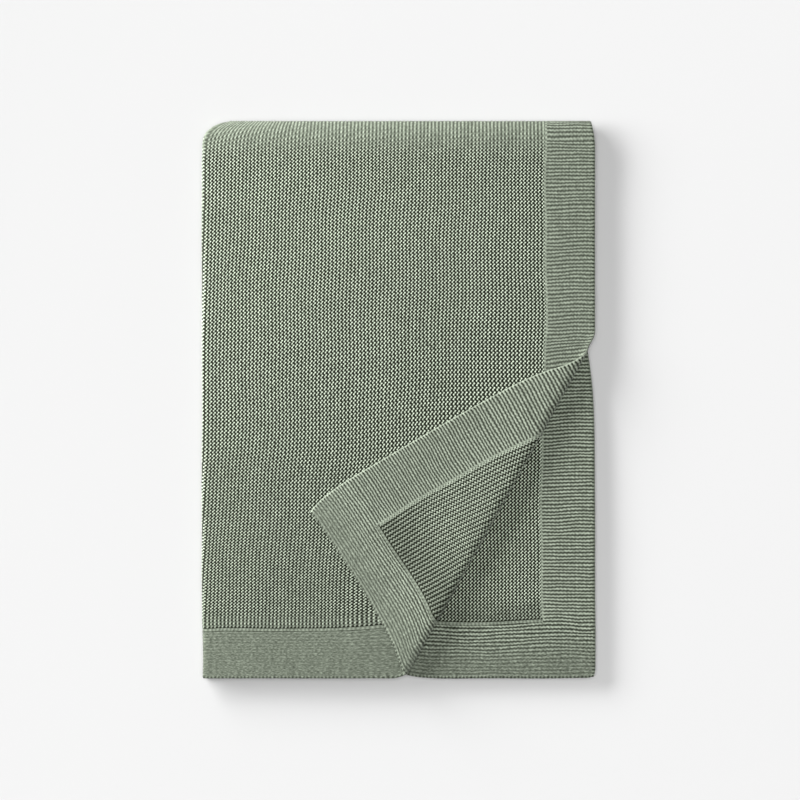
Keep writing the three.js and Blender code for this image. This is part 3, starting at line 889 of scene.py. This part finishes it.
def selvedge_light(finish, light, u, v, back):
    """The selvedges: smooth, with a dot of painted shade beside each ridge, and small knots at the
    ends.
    """
    cos, rise, band = finish.cos, finish.rise, finish.band
    level, width = (0.6, 0.4) if back else (0.47, 0.7)
    selvedge = level + 0.07 * cos(TURN * (v - 0.25))
    light = lerp(light, selvedge, band(u, ALL_COLUMNS - width, ALL_COLUMNS + 1, 0.1))
    # Painted shade: a dark dot beside each ridge of the selvedge
    beside = band(u, ALL_COLUMNS - 0.75, ALL_COLUMNS - 0.2, 0.12)
    light = light - 0.28 * rise(cos(TURN * (v - 0.75)), 0.1, 0.8) * beside
    # The knit is pulled smooth over the lengthwise fold, and its yarn is toned down there: painted
    # shade against the light that falls on the fold
    pulled_and_shaded = SMOOTH_SHADED_FOLD["share"] * (1 - rise(u, *SMOOTH_SHADED_FOLD["stitches"]))
    light = lerp(light, SMOOTH_SHADED_FOLD["light"], pulled_and_shaded)
    return light + 0.14 * band(v, ALL_ROWS - 0.7, ALL_ROWS + 1, 0.15) * cos(TURN * u)


def yarn_light(finish, stitches, u):
    """How bright the yarn is from stitch to stitch, and the cloth from place to place."""
    whole = finish.vectors("FLOOR", finish.vectors("SCALE", stitches, Scale=2.0))
    each = finish.node("ShaderNodeTexWhiteNoise", {"noise_dimensions": "2D"}, Vector=whole)
    column = finish.maths("FLOOR", u)
    column = finish.node("ShaderNodeTexWhiteNoise", {"noise_dimensions": "1D"}, W=column)
    mottle = finish.noise(stitches, *MOTTLE)
    return 0.84 + 0.22 * each + 0.04 * column + 0.06 * mottle


def knit_finish(name, settings, back):
    """The knit: light yarn over gaps of painted shade, uneven from place to place."""
    finish = Finish(name)
    stitches, u, v = finish.map_values("Stitches")
    _, fade, outer = finish.map_values("Lie")
    _, climb, _ = finish.map_values("Climb")
    stray = (finish.noise(stitches, *UNEVENNESS) - 0.5) * STITCH_STRAY
    fuzz = finish.noise(stitches, *FUZZ)
    u, v = u + stray, v - 0.6 * stray
    in_side = finish.rise(u, COLUMNS - 0.1, COLUMNS + 0.1)
    in_end = finish.rise(v, ROWS - 0.05, ROWS + 0.1)
    side_light, end_light = border_light(finish, stitches, u, v, outer, fuzz, back)
    light = field_light(finish, u, v, climb, fade, outer, back)
    light = lerp(lerp(light, side_light, in_side), end_light, in_end)
    light = join_light(finish, light, u, v, in_side, in_end)
    light = selvedge_light(finish, light, u, v, back) * yarn_light(finish, stitches, u)
    light = finish.maths("MINIMUM", finish.maths("MAXIMUM", light, DARKEST), 1.0)
    # The yarn colour mixed with painted shade down in the gaps between the stitches
    yarn = finish.colour((*settings.gap, 1), (*settings.yarn, 1), light * light)
    height = light + 0.3 * fuzz
    bump = finish.node("ShaderNodeBump", Strength=0.5, Distance=0.0009, Height=height)
    return finish.surface(
        Base_Color=yarn, Roughness=0.92, Normal=bump, Sheen_Weight=0.1, Sheen_Roughness=0.5,
        Specular_IOR_Level=0.15,
    )


def floor_finish(settings):
    """A matt studio floor, painted so that it looks evenly pale under the side light."""
    finish = Finish("studio_floor")
    point = finish.node("ShaderNodeNewGeometry")
    side = 0
    for place in side_light_places():
        way = finish.vectors("SUBTRACT", point, tuple(place))
        reach = finish.vectors("LENGTH", way, out=1)
        facing = finish.vectors("DOT_PRODUCT", way, tuple(-place.normalized()), out=1)
        spread = facing / (reach * reach * reach * reach)
        side = side + spread * (place.length**3 * settings.side_share / SIDE_LIGHTS)
    level = 1 / finish.maths("MAXIMUM", side + (1 - settings.side_share), LEAST_LIGHT)
    pale = finish.vectors("SCALE", tuple(settings.floor), Scale=level)
    return finish.surface(Base_Color=pale, Roughness=1.0, Specular_IOR_Level=0.0)


# What a user would change


class KnitThrowSettings(bpy.types.PropertyGroup):
    size: FloatProperty(
        name="Size", description="Scale of the whole throw", default=1.0, min=0.9, max=1.1
    )
    stitch_height: FloatProperty(
        name="Stitch height", description="How far the yarn stands out of the cloth",
        default=0.0007, min=0.0, max=0.0012, unit="LENGTH",
    )
    yarn: FloatVectorProperty(
        name="Yarn", description="Colour of the yarn where it stands up", subtype="COLOR",
        size=3, default=(0.758, 0.865, 0.685), min=0, max=1,
    )
    # Painted shade down between the stitches, near black
    gap: FloatVectorProperty(
        name="Gaps", description="Colour down between the stitches", subtype="COLOR",
        size=3, default=(0.0103, 0.0132, 0.0062), min=0, max=1,
    )


class KnitStageSettings(bpy.types.PropertyGroup):
    floor: FloatVectorProperty(
        name="Floor", description="Colour of the floor under the throw", subtype="COLOR",
        size=3, default=(0.6, 0.6, 0.6), min=0, max=1,
    )
    side_light: FloatProperty(
        name="Side light", description="Power of the soft light from the upper left",
        default=155.0, min=0, unit="POWER",
    )
    side_share: FloatProperty(
        name="Side share", description="Share of the floor's light that the side light gives",
        default=0.43, min=0, max=1, subtype="FACTOR",
    )
    top_light: FloatProperty(
        name="Top light", description="Strength of the soft light overhead", default=2.2, min=0
    )
    around: FloatProperty(
        name="Light all round", description="Strength of the even light from above",
        default=0.1, min=0,
    )
    camera_height: FloatProperty(
        name="Camera height", description="Height of the camera over the throw",
        default=6.0, min=1, unit="LENGTH",
    )


# The pieces


class KNITTHROW_OT_lay_cloth(bpy.types.Operator):
    """Lay the knitted cloth: four layers with the corner of the top one turned back"""

    bl_idname = "knit_throw.lay_cloth"
    bl_label = "Lay the throw"

    def execute(self, context):
        settings = context.scene.knit_throw
        mesh = knit_mesh(settings.stitch_height, settings.size)
        throw = bpy.data.objects.new("throw_cloth", mesh)
        context.scene.collection.objects.link(throw)
        mesh.materials.append(knit_finish("sage_knit_face", settings, back=False))
        mesh.materials.append(knit_finish("sage_knit_back", settings, back=True))
        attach(throw, "root")
        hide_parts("throw")
        return {"FINISHED"}


class KNITTHROW_OT_set_stage(bpy.types.Operator):
    """Set the pale floor, the soft studio light and the camera straight overhead"""

    bl_idname = "knit_throw.set_stage"
    bl_label = "Set the stage"

    def execute(self, context):
        settings = context.scene.knit_throw_stage
        scene = context.scene
        self.lay_floor(scene, settings)
        self.light(scene, settings)
        self.aim_camera(scene, settings)
        scene.view_settings.view_transform = "Standard"
        return {"FINISHED"}

    @staticmethod
    def lay_floor(scene, settings):
        mesh = bpy.data.meshes.new("floor")
        around = [TURN * i / SPOKES for i in range(SPOKES)]
        places = [(0, 0, 0)]
        places += [(r * math.cos(a), r * math.sin(a), 0) for r in FLOOR_RINGS for a in around]
        faces = [(0, 1 + i, 1 + (i + 1) % SPOKES) for i in range(SPOKES)]
        for ring in range(len(FLOOR_RINGS) - 1):
            start = 1 + SPOKES * ring
            for i in range(SPOKES):
                j = (i + 1) % SPOKES
                faces.append((start + i, start + SPOKES + i, start + SPOKES + j, start + j))
        mesh.from_pydata(places, [], faces)
        floor = bpy.data.objects.new("floor", mesh)
        scene.collection.objects.link(floor)
        mesh.materials.append(floor_finish(settings))

    @staticmethod
    def light(scene, settings):
        lamps = []
        for place in side_light_places():
            side = bpy.data.lights.new("upper_left_light", "AREA")
            side.shape, side.size = "DISK", SIDE_LIGHT["across"]
            side.energy = settings.side_light / SIDE_LIGHTS
            lamps.append((side, place))
        overhead = bpy.data.lights.new("overhead_light", "SUN")
        overhead.angle, overhead.energy = math.radians(TOP_LIGHT["spread"]), settings.top_light
        for lamp, at in (*lamps, (overhead, Vector((0, 0, TOP_LIGHT["height"])))):
            holder = bpy.data.objects.new(lamp.name, lamp)
            holder.location = at
            holder.rotation_mode = "QUATERNION"
            holder.rotation_quaternion = (-at).to_track_quat("-Z", "Y")
            holder.visible_camera = False
            scene.collection.objects.link(holder)
        world = bpy.data.worlds.new("studio")
        world.use_nodes = True
        scene.world = world
        nodes, links = world.node_tree.nodes, world.node_tree.links
        way = nodes.new("ShaderNodeTexCoord")
        split = nodes.new("ShaderNodeSeparateXYZ")
        fall = nodes.new("ShaderNodeMapRange")
        names = ("From Min", "From Max", "To Min", "To Max")
        for name, value in zip(names, (*SKY["from"], SKY["low"], settings.around)):
            fall.inputs[name].default_value = value
        links.new(way.outputs["Generated"], split.inputs[0])
        links.new(split.outputs["Z"], fall.inputs["Value"])
        links.new(fall.outputs[0], nodes["Background"].inputs["Strength"])
        nodes["Background"].inputs["Color"].default_value = (1, 1, 1, 1)

    @staticmethod
    def aim_camera(scene, settings):
        view = bpy.data.cameras.new("overhead_view")
        view.sensor_width = SENSOR
        view.lens = SENSOR * settings.camera_height / (VIEW_PIXELS * PIXEL)
        view.clip_start, view.clip_end = 0.1, 100
        camera = bpy.data.objects.new("overhead_view", view)
        right, up = VIEW_MIDDLE
        camera.location = (right * PIXEL, up * PIXEL, FOCUS_HEIGHT + settings.camera_height)
        scene.collection.objects.link(camera)
        scene.camera = camera


class VIEW3D_PT_knit_throw(bpy.types.Panel):
    """Sizes, colours and steps of the knit throw"""

    bl_label = "Knit Throw"
    bl_space_type = "VIEW_3D"
    bl_region_type = "UI"
    bl_category = "Knit Throw"

    def draw(self, context):
        for settings in (context.scene.knit_throw, context.scene.knit_throw_stage):
            box = self.layout.box()
            for name in settings.__annotations__:
                box.prop(settings, name)
        for operator in OPERATORS:
            self.layout.operator(operator.bl_idname)


OPERATORS = (KNITTHROW_OT_lay_cloth, KNITTHROW_OT_set_stage)
CLASSES = (KnitThrowSettings, KnitStageSettings, *OPERATORS, VIEW3D_PT_knit_throw)


def register():
    for kind in CLASSES:
        bpy.utils.register_class(kind)
    bpy.types.Scene.knit_throw = PointerProperty(type=KnitThrowSettings)
    bpy.types.Scene.knit_throw_stage = PointerProperty(type=KnitStageSettings)


def unregister():
    del bpy.types.Scene.knit_throw_stage
    del bpy.types.Scene.knit_throw
    for kind in reversed(CLASSES):
        bpy.utils.unregister_class(kind)


def main():
    register()
    bpy.ops.knit_throw.lay_cloth()
    bpy.ops.knit_throw.set_stage()


if __name__ == "__main__":
    main()
